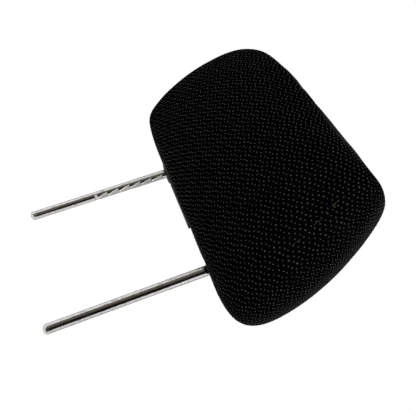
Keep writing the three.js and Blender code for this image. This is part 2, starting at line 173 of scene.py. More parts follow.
# The stage.
WHITE = (1, 1, 1, 1)
BLACK = (0, 0, 0, 1)
FLOOR_COLOUR = (0.85, 0.85, 0.85, 1)
FLOOR_Z = -300
FLOOR_REACH = 30000
FLOOR_GLOW = 0.45
WORLD_LIGHT = 0.55
SUNS = (
    ("key", (0.45, -0.9, 0.8), 1.35, 50),
    ("side", (1.0, 0.45, 0.1), 2.5, 30),
)
CARD_RADIUS = 380
CARD_FROM = -58
CARD_TO = 126
CARD_HEIGHTS = (-295, 700)
CARD_STEPS = 48
CARD_BANDS = (
    (0.0, (0.40, 0.39, 0.37)),
    (0.12, (0.30, 0.28, 0.25)),
    (0.26, (0.16, 0.14, 0.11)),
    (0.34, (0.02, 0.016, 0.012)),
    (0.38, (0.006,) * 3),
    (0.55, (0.006,) * 3),
    (0.575, (1.0,) * 3),
)
CARD_WING = (0.785, 0.8)
CARD_WING_FOOT = (0.265, 0.285)
CARD_WING_COLOUR = (0.6, 0.6, 0.58)
CARD_BLOTCHES = (
    (0.0, (0.2,) * 3),
    (0.06, (0.85,) * 3),
    (0.3, (0.85,) * 3),
    (0.36, (0.0,) * 3),
)

T_AXIS = np.array([0.0, math.cos(LEAN), math.sin(LEAN)])
H_AXIS = np.array([0.0, -math.sin(LEAN), math.cos(LEAN)])
CUSHION_ORIGIN = np.array([0.0, CUSHION_Y, CUSHION_Z])
SEAM_SLOPE = (SEAM_BOTTOM - SEAM_TOP) / (CUSHION_HEIGHT + 10)
SEAM_NORMAL = (T_AXIS + SEAM_SLOPE * H_AXIS) / math.hypot(1, SEAM_SLOPE)
SEAM_POINT = CUSHION_ORIGIN + (SEAM_BOTTOM - 10 * SEAM_SLOPE) * T_AXIS

rng = random.Random(7)


# The cushion's surface.


def signed_power(value, exponent):
    return np.sign(value) * np.abs(value) ** exponent


def cushion_points(share, angle, inset=0.0):
    """Points of the cushion's surface, as in the part's source."""
    width = HALF_WIDTH[0] + HALF_WIDTH[1] * share + HALF_WIDTH[2] * share**2 - inset
    half = (THICKNESS[0] + THICKNESS[1] * share) / 2 - inset
    corner = np.where(np.sin(angle) < 0, CORNER_POWER[0], CORNER_POWER[1])
    across = signed_power(np.cos(angle), 2 / corner)
    through = signed_power(np.sin(angle), 2 / corner)
    power = np.where(share < 0.5, BOTTOM_POWER, TOP_POWER)
    ends = (1 - np.abs(2 * share - 1) ** power) ** (1 / power)
    x = width * ends * across * (1 - SIDE_TAPER * (1 + through * ends) / 2)
    middle = 1 - (x / HALF_WIDTH[0]) ** 2
    shoulder = np.maximum(0, 1 - (x / HALF_WIDTH[0]) ** 4) ** 2
    front = np.maximum(0, -through) * ends
    rear = np.maximum(0, through) * ends
    belly = 1 - 4 * (share - 0.5) ** 2
    t = half * ends * through
    t = t - front * (FRONT_BULGE * belly - FRONT_HOLLOW * middle)
    t = t + rear * REAR_SWELL * shoulder * (1 - share) ** 2
    run = inset + (CUSHION_HEIGHT - 2 * inset) * share
    h = run + TOP_CROWN * middle * share**2 + BOTTOM_ARCH * middle * (1 - share) ** 2
    level = (t - UNDERSIDE_FRONT) * math.sin(LEAN) * UNDERSIDE_LEVEL * (1 - share) ** 6
    points = CUSHION_ORIGIN + t[..., None] * T_AXIS + h[..., None] * H_AXIS
    points[..., 0] = x
    points[..., 2] -= level
    return points


def way_along(points, axis=0, weights=1):
    """The length of the way along an axis of an array of points, from zero."""
    steps = np.linalg.norm(np.diff(points, axis=axis), axis=-1) * weights
    sums = np.cumsum(steps, axis=axis)
    return np.concatenate([np.zeros_like(sums.take([0], axis)), sums], axis=axis)


def spread(curve, weights, count):
    """The indices, as real numbers, of count + 1 places along a curve."""
    length = way_along(curve, 0, (weights[1:] + weights[:-1]) / 2)
    return np.interp(np.linspace(0, length[-1], count + 1), length, np.arange(len(curve)))


def quarter_curve(power, start, end_steps, face_steps):
    """The reach and the thickness along a quarter of a rounded form, from its end to its face."""
    corner = 2 ** (-1 / power)
    thin = np.linspace(start, corner, end_steps)
    face = np.linspace(corner, 0, face_steps)[1:]
    reach = np.concatenate([(1 - thin**power) ** (1 / power), face])
    return reach, np.concatenate([thin, (1 - face**power) ** (1 / power)])


def end_profile(power):
    """Shares and thinnings from one end of the cushion to its middle."""
    reach, thin = quarter_curve(power, FLATTEST_END, 400, 800)
    return (1 - reach) / 2, thin


def ring_stations():
    """Shares of the rings, from the bottom to the top."""
    low, low_thin = end_profile(BOTTOM_POWER)
    high, high_thin = end_profile(TOP_POWER)
    share = np.concatenate([low, 1 - high[-2::-1]])
    thin = np.concatenate([low_thin, high_thin[-2::-1]])
    curve = np.stack([CUSHION_HEIGHT * share, THICKNESS[0] / 2 * thin], axis=1)
    edge = np.minimum(share, 1 - share) * CUSHION_HEIGHT
    at = spread(curve, 1 + 2.2 * np.exp(-((edge / 7) ** 2)), RINGS)
    return np.interp(at, np.arange(len(share)), share)


def ring_angles():
    """Angles around a ring, spread by length and closer at the sides."""
    power = CORNER_POWER[0]
    across, rise = quarter_curve(power, 0, 600, 600)
    curve = np.stack([HALF_WIDTH[0] * across, THICKNESS[0] / 2 * rise], axis=1)
    at = spread(curve, 1 + 1.8 * across**6, QUARTER_STEPS)
    index = np.arange(len(rise))
    rise, across = np.interp(at, index, rise), np.interp(at, index, across)
    angle = np.arctan2(rise ** (power / 2), across ** (power / 2))
    half = np.concatenate([angle, math.pi - angle[-2::-1]])
    return np.concatenate([half, 2 * math.pi - half[-2:0:-1]])


def oval(place, one, two, sides):
    """Points around a place, at the reach of one and two."""
    turns = [2 * math.pi * side / sides for side in range(sides)]
    return [tuple(place + one * math.cos(turn) + two * math.sin(turn)) for turn in turns]


def wall(rings, around):
    """The faces between the rings of a closed wall."""
    faces = []
    for ring in range(rings):
        for step in range(around):
            after = (step + 1) % around
            low, high = ring * around, (ring + 1) * around
            faces.append((low + step, low + after, high + after, high + step))
    return faces


def skin_faces(rings, around):
    """The wall of rings, closed at both ends by strips between its front and its back."""
    faces = wall(rings, around)
    for step in range(around // 2):
        strip = [step, step + 1, (around - step - 1) % around, (around - step) % around]
        strip = list(dict.fromkeys(strip))
        faces.append(tuple(reversed(strip)))
        faces.append(tuple(rings * around + c for c in strip))
    return faces


# Objects and cloth.


def link(name, data):
    made = bpy.data.objects.new(name, data)
    bpy.context.scene.collection.objects.link(made)
    return made


def mesh_object(name, points, faces):
    """A mesh from points in millimetres."""
    mesh = bpy.data.meshes.new(name)
    mesh.from_pydata((np.asarray(points) * MM).tolist(), [], faces)
    mesh.update()
    return link(name, mesh)


def shade(made, sharp_degrees=None):
    """Smooth shading, with edges sharper than an angle kept sharp."""
    mesh = made.data
    mesh.polygons.foreach_set("use_smooth", [True] * len(mesh.polygons))
    if sharp_degrees is not None:
        mesh.set_sharp_from_angle(angle=math.radians(sharp_degrees))


def apply_modifiers(made):
    bpy.ops.object.select_all(action="DESELECT")
    made.select_set(True)
    bpy.context.view_layer.objects.active = made
    for modifier in list(made.modifiers):
        bpy.ops.object.modifier_apply(modifier=modifier.name)


def give(thing, **values):
    """Sets several values of a thing."""
    for name, value in values.items():
        setattr(thing, name, value)
    return thing


def vertex_array(mesh):
    co = np.empty(len(mesh.vertices) * 3)
    mesh.vertices.foreach_get("co", co)
    return co.reshape(-1, 3)


def seam_distance(points):
    """Millimetres behind the plane of the seam."""
    return (points - SEAM_POINT) @ SEAM_NORMAL


def held_still(points):
    """Where the cover can't swell: along the seam, around the rods and along the strips."""
    held = np.exp(-((seam_distance(points) / 5) ** 2))
    low = points[:, 2] < UNDERSIDE_TOP
    for side in (-1, 1):
        away = np.hypot(points[:, 0] - side * ROD_OFFSET, points[:, 1])
        held = np.maximum(held, np.where(low, np.exp(-((away / 16) ** 4)), 0))
    strip_x = np.clip(points[:, 0], STRIP_LEFT, STRIP_RIGHT)
    strip_y = np.clip(points[:, 1], STRIP_FRONT, STRIP_UPRIGHT)
    away = np.hypot(points[:, 0] - strip_x, points[:, 1] - strip_y)
    return np.maximum(held, np.where(low, np.exp(-((away / 6) ** 2)), 0))


def swelled(points, normals, faces):
    """The skin after the cloth has swelled over the foam. The simulation runs on an even mesh of
    the same form, and its moves are carried over to the skin."""
    points = points + (SWELL_LEAD * (1 - held_still(points)))[:, None] * normals
    dummy = mesh_object("swelling", points, faces)
    give(dummy.modifiers.new("even", "REMESH"), mode="VOXEL", voxel_size=VOXEL * MM)
    apply_modifiers(dummy)
    before = vertex_array(dummy.data)
    group = dummy.vertex_groups.new(name="held")
    for index, weight in enumerate(held_still(before / MM)):
        if weight > 0.02:
            group.add([index], float(weight), "REPLACE")
    cloth = dummy.modifiers.new("cloth", "CLOTH")
    give(cloth.settings, **CLOTH_SETTINGS)
    cloth.settings.effector_weights.gravity = 0
    cloth.collision_settings.use_collision = False
    scene = bpy.context.scene
    cloth.point_cache.frame_start = 1
    cloth.point_cache.frame_end = SIM_FRAMES
    for number in range(1, SIM_FRAMES + 1):
        scene.frame_set(number)
    graph = bpy.context.evaluated_depsgraph_get()
    moves = (vertex_array(dummy.evaluated_get(graph).to_mesh()) - before) / MM
    scene.frame_set(1)
    length = np.linalg.norm(moves, axis=1, keepdims=True)
    moves *= np.minimum(1, SWELL_CAP / np.maximum(length, 1e-9))
    tree = kdtree.KDTree(len(before))
    for index, place in enumerate(before / MM):
        tree.insert(place, index)
    tree.balance()
    carried = np.zeros_like(points)
    for index, place in enumerate(points):
        near = tree.find_n(place, 12)
        weights = np.array([math.exp(-((n[2] / VOXEL) ** 2)) + 1e-9 for n in near])
        carried[index] = weights @ moves[[n[1] for n in near]] / weights.sum()
    mesh = dummy.data
    bpy.data.objects.remove(dummy)
    bpy.data.meshes.remove(mesh)
    return points + carried


def filled(points, normals):
    """The foam fills some corners more than others."""
    out = points.copy()
    for place, amount, reach in CORNER_FILL:
        away = np.linalg.norm(points - np.array(place, float), axis=1)
        out += (amount * np.exp(-((away / reach) ** 2)))[:, None] * normals
    return out


def grid_normals(grid):
    """Outward normals at the points of the rings."""
    around = np.roll(grid, -1, axis=1) - np.roll(grid, 1, axis=1)
    up = np.gradient(grid, axis=0)
    normals = np.cross(around, up)
    return normals / np.maximum(np.linalg.norm(normals, axis=2, keepdims=True), 1e-9)


def pressed(points, normals):
    """The cloth lies on top of the flanges of the two rosettes."""
    out = points.copy()
    for side, lift in ((-1, 0), (1, RIGHT_ROSETTE_LIFT)):
        away = np.hypot(points[:, 0] - side * ROD_OFFSET, points[:, 1])
        fade = np.clip((away - 14.2) / 6, 0, 1)
        fade = 1 - fade * fade * (3 - 2 * fade)
        rise = lift + ROSETTE_FLANGE + 0.35 - points[:, 2]
        under = (normals[:, 2] < -0.1) & (points[:, 2] < UNDERSIDE_TOP + 2) & (away < 20.2)
        out[:, 2] += np.where(under, np.maximum(rise, 0) * fade, 0)
    return out


def puckered(points, normals):
    """Small gathers on both sides of the seam."""
    distance = np.abs(seam_distance(points))
    local = points - CUSHION_ORIGIN
    along = np.abs(normals @ H_AXIS) * local[:, 0] + np.abs(normals[:, 0]) * (local @ H_AXIS)
    wave = np.cos(2 * math.pi * along / PUCKER_LENGTH + 1.3 * np.sin(along / 17))
    depth = PUCKER * wave * np.exp(-((distance / PUCKER_REACH) ** 2))
    return points + depth[:, None] * normals


def cloth_charts(grid, angle):
    """For each face of the rings, the flat cloth coordinates of its corners and its chart.
    Chart 0 lies flat on the front and goes around the sides, where the cloth isn't stretched and
    its pattern is closer. Chart 1 goes over the top and the bottom to the back."""
    rings, around = grid.shape[0] - 1, grid.shape[1]
    quarter = around // 4
    height = way_along(grid)
    height = height - height[rings // 2]
    order = (np.arange(around + 1) + quarter) % around
    depth = np.sin(angle)[order]
    depth = np.clip(((depth[1:] + depth[:-1]) / 2 - SLACK_FROM) / (SLACK_TO - SLACK_FROM), 0, 1)
    slack = 1 + SIDE_SLACK * depth * depth * (3 - 2 * depth)
    walked = way_along(grid[:, order], 1, slack)
    walked = walked - walked[:, [2 * quarter]]
    rear = way_along(grid[:, : 2 * quarter + 1], 1)
    rear = rear[:, [quarter]] - rear
    mirror = (around - np.arange(around)) % around
    normals = grid_normals(grid)
    corners, charts = [], []
    for ring in range(rings):
        for step in range(around):
            cells = ((ring, step), (ring, step + 1), (ring + 1, step + 1), (ring + 1, step))
            normal = normals[ring, step]
            capped = step < 2 * quarter and abs(normal @ H_AXIS) > abs(normal[0])
            spots = []
            for r, s in cells:
                w = s % around
                if capped:
                    end = height[rings if ring > rings // 2 else 0]
                    spots.append((rear[r, s], end[mirror[w]] + end[w] - height[r, w]))
                else:
                    lap = 0 if s >= quarter and step >= quarter else around
                    spots.append((walked[r, s - quarter + lap], height[r, w]))
            corners.append(spots)
            charts.append(1 if capped else 0)
    return corners, charts


def make_skin():
    """The whole skin as a bmesh in millimetres, with the cloth's flat coordinates."""
    share = ring_stations()
    angle = ring_angles()
    around = len(angle)
    grid = cushion_points(share[:, None], angle[None, :])
    start = cushion_points(share[:, None], angle[None, :], SWELL_START)
    normals = grid_normals(grid).reshape(-1, 3)
    faces = skin_faces(RINGS, around)
    points = swelled(start.reshape(-1, 3), normals, faces)
    for change in (filled, puckered, pressed):
        points = change(points, normals)
    corners, charts = cloth_charts(grid, angle)
    bm = bmesh.new()
    flat = bm.loops.layers.uv.new("cloth")
    chart = bm.faces.layers.int.new("chart")
    verts = [bm.verts.new(p) for p in points]
    for index, face in enumerate(faces):
        made = bm.faces.new([verts[i] for i in face])
        if index < len(corners):
            made[chart] = charts[index]
            for loop, spot in zip(made.loops, corners[index]):
                loop[flat].uv = spot
        else:
            made[chart] = 2
            for loop in made.loops:
                loop[flat].uv = (loop.vert.co.x, loop.vert.co.y)
    bm.normal_update()
    return bm


def cut_at_seam(bm, side):
    """Keeps one side of the seam, -1 the front and 1 the rear, with its edge rolled in."""
    normal = Vector(SEAM_NORMAL)
    point = Vector(SEAM_POINT)
    for depth in (0, 0.12, 0.5, 0.95, SEAM_ROLL, 2.6):
        bmesh.ops.bisect_plane(
            bm, geom=bm.verts[:] + bm.edges[:] + bm.faces[:], dist=1e-5,
            plane_co=point + normal * side * (SEAM_HALF_GAP + depth), plane_no=normal * side,
            clear_inner=depth == 0, clear_outer=False)
    bm.normal_update()
    for vert in bm.verts:
        inside = side * (vert.co - point).dot(normal) - SEAM_HALF_GAP
        if inside < SEAM_ROLL:
            reach = SEAM_ROLL - max(0.0, inside)
            drop = SEAM_ROLL - math.sqrt(max(0.0, SEAM_ROLL**2 - reach**2))
            inward = vert.normal - normal * vert.normal.dot(normal)
            vert.co -= inward.normalized() * drop


def drop_near_rods(bm):
    """Opens the underside around the rods."""
    gone = []
    for face in bm.faces:
        middle = face.calc_center_median()
        away = math.hypot(abs(middle.x) - ROD_OFFSET, middle.y)
        if away < ROD_OPENING and middle.z < UNDERSIDE_TOP + 2 and face.normal.z < 0:
            gone.append(face)
    bmesh.ops.delete(bm, geom=gone, context="FACES")


def open_slot(bm):
    """Cuts the slot of the closing strips into the underside."""
    low = (STRIP_LEFT - SLOT_GAP, STRIP_FRONT - SLOT_GAP)
    high = (STRIP_RIGHT + SLOT_GAP, STRIP_UPRIGHT + SLOT_GAP)

    def within(face, margin):
        middle = face.calc_center_median()
        return (face.normal.z < -0.2 and middle.z < UNDERSIDE_TOP
                and low[0] - margin < middle.x < high[0] + margin
                and low[1] - margin < middle.y < high[1] + margin)

    for axis, across in enumerate((Vector((1, 0, 0)), Vector((0, 1, 0)))):
        for place in (low[axis], high[axis]):
            faces = [face for face in bm.faces if within(face, 6)]
            edges = {edge for face in faces for edge in face.edges}
            verts = {vert for face in faces for vert in face.verts}
            bmesh.ops.bisect_plane(bm, geom=[*verts, *edges, *faces], dist=1e-5,
                                   plane_co=across * place, plane_no=across)
    bmesh.ops.delete(bm, geom=[f for f in bm.faces if within(f, 0)], context="FACES")


def edge_loop(bm):
    """The points of the longest open edge, in order."""
    left = {e for e in bm.edges if e.is_boundary}
    best = []
    while left:
        loop = list(left.pop().verts)
        while True:
            onward = [e for e in loop[-1].link_edges if e in left]
            if not onward:
                break
            left.discard(onward[0])
            loop.append(onward[0].other_vert(loop[-1]))
        if len(loop) > len(best):
            best = loop
    return [v.co.copy() for v in best]


def finish_cloth(name, bm, node):
    for vert in bm.verts:
        vert.co *= MM
    for face in bm.faces:
        face.smooth = True
    mesh = bpy.data.meshes.new(name)
    bm.to_mesh(mesh)
    bm.free()
    made = link(name, mesh)
    give(made.modifiers.new("thickness", "SOLIDIFY"), thickness=CLOTH_THICKNESS * MM,
         offset=-1, use_rim=True)
    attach(made, "root")
    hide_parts(node)
    return made


# The dots of the pattern.


def cloth_triangles(bm):
    """The triangles of the dotted cloth with their flat coordinates, by chart."""
    flat = bm.loops.layers.uv["cloth"]
    chart = bm.faces.layers.int["chart"]
    found = {0: [], 1: []}
    for loops in bm.calc_loop_triangles():
        face = loops[0].face
        clear = all(seam_distance(np.array(l.vert.co)) < -SEAM_CLEAR for l in loops)
        if face[chart] in found and clear:
            found[face[chart]].append([
                (l[flat].uv.copy(), l.vert.co.copy(), l.vert.normal.copy()) for l in loops])
    return found


def lattice(u_reach, v_low, v_high):
    """The dots of the pattern on the flat cloth."""
    a, b = Vector(DOT_STEP_A), Vector(DOT_STEP_B)
    for i in range(-220, 221):
        shift = DOT_SHIFT if i % 4 in (2, 3) else 0.0
        for j in range(-150, 151):
            spot = i * b + (j + shift) * a
            if abs(spot.x) < u_reach and v_low < spot.y < v_high:
                yield spot


def barycentric(spot, corners):
    (ax, ay), (bx, by), (cx, cy) = corners
    det = (by - cy) * (ax - cx) + (cx - bx) * (ay - cy)
    if abs(det) < 1e-9:
        return None
    p = ((by - cy) * (spot.x - cx) + (cx - bx) * (spot.y - cy)) / det
    q = ((cy - ay) * (spot.x - cx) + (ax - cx) * (spot.y - cy)) / det
    return p, q, 1 - p - q


def dot_places(triangles):
    """Where the dots sit: a point, the normal, the direction of the rows and a size."""
    places = []
    for group in triangles.values():
        corners = [(uv.x, uv.y, 0.0) for tri in group for uv, _, _ in tri]
        sides = [(3 * i, 3 * i + 1, 3 * i + 2) for i in range(len(group))]
        tree = BVHTree.FromPolygons(corners, sides)
        low = min(c[1] for c in corners)
        high = max(c[1] for c in corners)
        for spot in lattice(max(abs(c[0]) for c in corners), low, high):
            spot = spot + Vector((rng.gauss(0, DOT_STRAY), rng.gauss(0, DOT_STRAY)))
            hit = tree.ray_cast(Vector((spot.x, spot.y, 1)), Vector((0, 0, -1)))
            if hit[0] is None:
                continue
            tri = group[hit[2]]
            shares = barycentric(spot, [tuple(uv) for uv, _, _ in tri])
            if shares is None:
                continue
            place = sum((w * co for w, (_, co, _) in zip(shares, tri)), Vector())
            normal = sum((w * n for w, (_, _, n) in zip(shares, tri)), Vector()).normalized()
            step = barycentric(spot + Vector((1, 0)), [tuple(uv) for uv, _, _ in tri])
            row = sum((w * co for w, (_, co, _) in zip(step, tri)), Vector()) - place
            size = math.sqrt(min(1.1, max(0.5, row.length)))
            row = (row - normal * row.dot(normal)).normalized()
            if row.length > 0.5:
                places.append((place, normal, row, size))
    return places


def make_dots(places):
    """One small raised dot of thread for each place."""
    sides = DOT_SIDES
    points, faces, shades = [], [], []
    for place, normal, row, slackness in places:
        turn = rng.gauss(0.35, 0.3)
        column = normal.cross(row)
        long_way = row * math.cos(turn) + column * math.sin(turn)
        short_way = normal.cross(long_way)
        size = slackness * max(0.7, rng.gauss(1, 0.11))
        tone = min(1.0, max(0.0, rng.gauss(0.5, 0.22)))
        base = len(points)
        for share, rise in ((1.0, -0.12), (0.8, 0.7 * DOT_HEIGHT)):
            points += oval(place + normal * (rise * size), long_way * (DOT_LONG * size * share),
                           short_way * (DOT_SHORT * size * share), sides)
        points.append(tuple(place + normal * (DOT_HEIGHT * size)))
        for side in range(sides):
            after = (side + 1) % sides
            faces.append((base + side, base + after, base + sides + after, base + sides + side))
            faces.append((base + sides + side, base + sides + after, base + 2 * sides))
        faces.append(tuple(base + side for side in reversed(range(sides))))
        shades += [tone] * (2 * sides + 1)
    made = mesh_object("cloth_dots", points, faces)
    attribute = made.data.attributes.new("dot_shade", "FLOAT", "POINT")
    attribute.data.foreach_set("value", np.array(shades, np.float32))
    shade(made)
    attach(made, "root")
    return made


# Threads.


def closed_tube(rings, sides):
    """The faces of a wall of rings and of its two ends."""
    last = rings * sides
    return wall(rings, sides) + [tuple(reversed(range(sides))), tuple(range(last, last + sides))]


def thread_object(name, lines, radii, sides=6):
    """Closed threads with thin ends along lines of places."""
    points, faces = [], []
    for line, radius in zip(lines, radii):
        places = [Vector(p) for p in line]
        tube = closed_tube(len(places) - 1, sides)
        faces += [tuple(len(points) + c for c in face) for face in tube]
        normal = None
        for before, place, after in zip([places[0], *places], places, [*places[1:], places[-1]]):
            along = (after - before).normalized()
            if normal is None:
                normal = along.orthogonal().normalized()
            normal = (normal - along * normal.dot(along)).normalized()
            size = radius * (0.45 if place is before or place is after else 1)
            points += oval(place, normal * size, along.cross(normal) * size, sides)
    made = mesh_object(name, points, faces)
    shade(made)
    return made


def make_seam_stitches(loop):
    """The thread that shows in the groove between the two panels."""
    places = np.array(loop)
    if np.linalg.norm(places[0] - places[-1]) > 1e-6:
        places = np.vstack([places, places[:1]])
    length = way_along(places)
    count = int(length[-1] / STITCH_PITCH)
    centre = places.mean(axis=0)
    lines = []

    def spot(distance):
        return np.array([np.interp(distance, length, places[:, i]) for i in range(3)])

    for index in range(count):
        at = (index + 0.5) * length[-1] / count
        middle = spot(at)
        along = spot(min(length[-1], at + 0.6)) - spot(max(0, at - 0.6))
        along /= np.linalg.norm(along)
        outward = np.cross(along, SEAM_NORMAL)
        outward /= np.linalg.norm(outward)
        if outward @ (middle - centre) < 0:
            outward = -outward
        lines.append([
            middle + SEAM_NORMAL * (SEAM_HALF_GAP + share * 0.85) + along * share * 0.5
            + outward * (0.42 * (1 - share * share) - 0.1 * share * share)
            for share in (-1, -0.6, 0, 0.6, 1)])
    made = thread_object("seam_stitches", lines, [0.2] * len(lines))
    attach(made, "root")
    return made


# The hoop.


def cut_depth(z):
    """How deep the left leg is cut at a height."""
    if abs(z - STOP_NOTCH_Z) < STOP_NOTCH_WIDTH / 2:
        return STOP_NOTCH_DEPTH
    for step in TOOTH_STEPS:
        if step - TOOTH_RAMP < z < step:
            return TOOTH_DEPTH * (z - step + TOOTH_RAMP) / TOOTH_RAMP
    return 0.0


def leg_heights(notched):
    """Heights of the rings along a straight leg, above its rounded tip."""
    low, high = -ROD_BELOW + TIP_HEIGHT, HOOP_BEND_START
    if not notched:
        return list(np.arange(low, high, 6.0))
    heights = set(np.arange(low, STOP_NOTCH_Z - 3, 6.0)) | set(np.arange(STOP_NOTCH_Z - 3, 0, 0.8))
    heights |= {step - TOOTH_RAMP for step in TOOTH_STEPS}
    half = STOP_NOTCH_WIDTH / 2
    for z in (STOP_NOTCH_Z - half, STOP_NOTCH_Z + half, *TOOTH_STEPS):
        heights = {h for h in heights if abs(h - z) > 0.3}
        heights |= {z - 0.22, z - 0.05, z + 0.05, z + 0.22}
    return sorted(heights) + [4.0]


def leg(side, notched):
    """Stations of one leg from its tip to the middle of the cross bar."""
    up = Vector((0, 0, 1))
    x = side * ROD_OFFSET
    stations = []
    for step in range(9):
        rise = TIP_HEIGHT * (1 - math.cos(math.pi / 2 * step / 8))
        share = TIP_FLAT + (1 - TIP_FLAT) * math.sqrt(max(0.0, 1 - (1 - rise / TIP_HEIGHT) ** 2))
        stations.append((Vector((x, 0, -ROD_BELOW + rise)), up, ROD_RADIUS * share, 0.0))
    for z in leg_heights(notched)[1:]:
        depth = cut_depth(z) if notched else 0.0
        stations.append((Vector((x, 0, z)), up, ROD_RADIUS, depth))
    for step in range(15):
        turn = HOOP_LEAN * step / 14
        place = Vector((x, HOOP_BEND_RADIUS * (math.cos(turn) - 1),
                        HOOP_BEND_START + HOOP_BEND_RADIUS * math.sin(turn)))
        stations.append((place, Vector((0, -math.sin(turn), math.cos(turn))), ROD_RADIUS, 0.0))
    arm = Vector((0, math.cos(HOOP_LEAN), math.sin(HOOP_LEAN)))
    origin = Vector((0, -HOOP_BEND_RADIUS, HOOP_BEND_START)) + arm * HOOP_BEND_RADIUS
    matrix = Matrix.Translation(origin) @ Matrix.Rotation(HOOP_LEAN, 4, "X")
    for step in range(17):
        turn = math.pi / 2 * step / 16
        inward = HOOP_CORNER_RADIUS * (1 - math.cos(turn))
        below = HOOP_CORNER_RADIUS * (1 - math.sin(turn))
        place = matrix @ Vector((side * (ROD_OFFSET - inward), 0, HOOP_LEG_ABOVE - below))
        along = matrix.to_3x3() @ Vector((-side * math.sin(turn), 0, math.cos(turn)))
        stations.append((place, along, ROD_RADIUS, 0.0))
    return stations


def make_hoop():
    """The bent rod: a round bar, flat where its left leg is notched."""
    sides = HOOP_SIDES
    right = [(place, -along, radius, depth) for place, along, radius, depth in leg(1, False)]
    stations = leg(-1, True) + right[::-1]
    normal = Vector((1, 0, 0))
    last = None
    points = []
    for place, along, radius, depth in stations:
        if last is not None:
            normal = last.rotation_difference(along) @ normal
        last = along
        other = along.cross(normal).normalized()
        flat = ROD_RADIUS - depth
        for side in range(sides):
            angle = 2 * math.pi * side / sides
            out = radius * math.cos(angle)
            over = out - flat + NOTCH_EDGE
            if depth > 0 and over > 0:
                out = flat - NOTCH_EDGE * math.exp(-over / NOTCH_EDGE)
            points.append(tuple(place + normal * out + other * (radius * math.sin(angle))))
    made = mesh_object("chrome_hoop", points, closed_tube(len(stations) - 1, sides))
    shade(made, 32)
    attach(made, "root")
    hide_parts("rod_hoop")
    return made


# The trim and the foam.


def turned_outward(made):
    bm = bmesh.new()
    bm.from_mesh(made.data)
    bmesh.ops.recalc_face_normals(bm, faces=bm.faces[:])
    bm.to_mesh(made.data)
    bm.free()


def lathe(name, profile, place, sides):
    """A ring turned about an upright axis from a closed profile of radius and height."""
    x, y, z = place
    turns = [2 * math.pi * side / sides for side in range(sides)]
    points = [(x + radius * math.cos(turn), y + radius * math.sin(turn), z + height)
              for turn in turns for radius, height in profile]
    faces = [tuple(c % len(points) for c in face) for face in wall(sides, len(profile))]
    made = mesh_object(name, points, faces)
    turned_outward(made)
    return made


def make_rosette(side, lift, node):
    hole = ROD_RADIUS + ROD_CLEARANCE
    profile = [
        (hole, 0.7), (hole + 0.25, 0.25), (hole + 0.8, 0.02), (8.2, 0.0), (8.45, 0.22),
        (8.9, 0.22), (9.15, 0.0), (10.6, 0.05), (11.6, 0.3), (12.3, 0.75), (12.7, 1.3),
        (ROSETTE_RADIUS, 1.8), (ROSETTE_RADIUS - 0.2, ROSETTE_FLANGE),
        (COLLAR_RADIUS, ROSETTE_FLANGE), (COLLAR_RADIUS, COLLAR_HEIGHT), (hole, COLLAR_HEIGHT),
    ]
    made = lathe(node.removeprefix("rod_"), profile, (side * ROD_OFFSET, 0, lift), 96)
    shade(made, 35)
    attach(made, "root")
    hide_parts(node)
    return made


def make_strip(profile, node):
    """A moulded strip along X with bevelled edges, from a closed profile of y and z."""
    places = np.linspace(STRIP_LEFT, STRIP_RIGHT, 22)
    points = [(x, y, z) for x in places for y, z in profile]
    made = mesh_object(node.removeprefix("closure_"), points,
                       closed_tube(len(places) - 1, len(profile)))
    turned_outward(made)
    give(made.modifiers.new("edges", "BEVEL"), width=0.3 * MM, segments=3,
         limit_method="ANGLE", angle_limit=math.radians(25))
    apply_modifiers(made)
    shade(made, 40)
    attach(made, "root")
    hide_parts(node)
    return made


def make_foam(node):
    """The moulded foam: the solid's form on an even mesh, softened all over."""
    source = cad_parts[node]
    made = link(node.removesuffix("_block"), source.data.copy())
    give(made.modifiers.new("even", "REMESH"), mode="VOXEL", voxel_size=3 * MM)
    give(made.modifiers.new("soft", "SMOOTH"), factor=0.5, iterations=3)
    apply_modifiers(made)
    made.data.materials.clear()
    shade(made)
    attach(made, "root")
    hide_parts(node)
    return made


# Materials.


class Tree:
    """A node tree. A value that goes into a node is a number, a colour or another's output."""

    def __init__(self, tree):
        self.tree = tree

    def put(self, socket, value):
        if isinstance(value, bpy.types.NodeSocket):
            self.tree.links.new(value, socket)
        else:
            socket.default_value = value

    def add(self, kind, inputs=(), **settings):
        node = give(self.tree.nodes.new("ShaderNode" + kind), **settings)
        for name, value in dict(inputs).items():
            self.put(node.inputs[name], value)
        return node

    def maths(self, operation, *values):
        return self.add("Math", enumerate(values), operation=operation).outputs[0]

    def seen(self):
        """1 where the camera looks, also in a mirror or through something clear, and else 0."""
        path = self.add("LightPath").outputs
        either = self.maths("MAXIMUM", path["Is Camera Ray"], path["Is Glossy Ray"])
        return self.maths("MAXIMUM", either, path["Is Transmission Ray"])


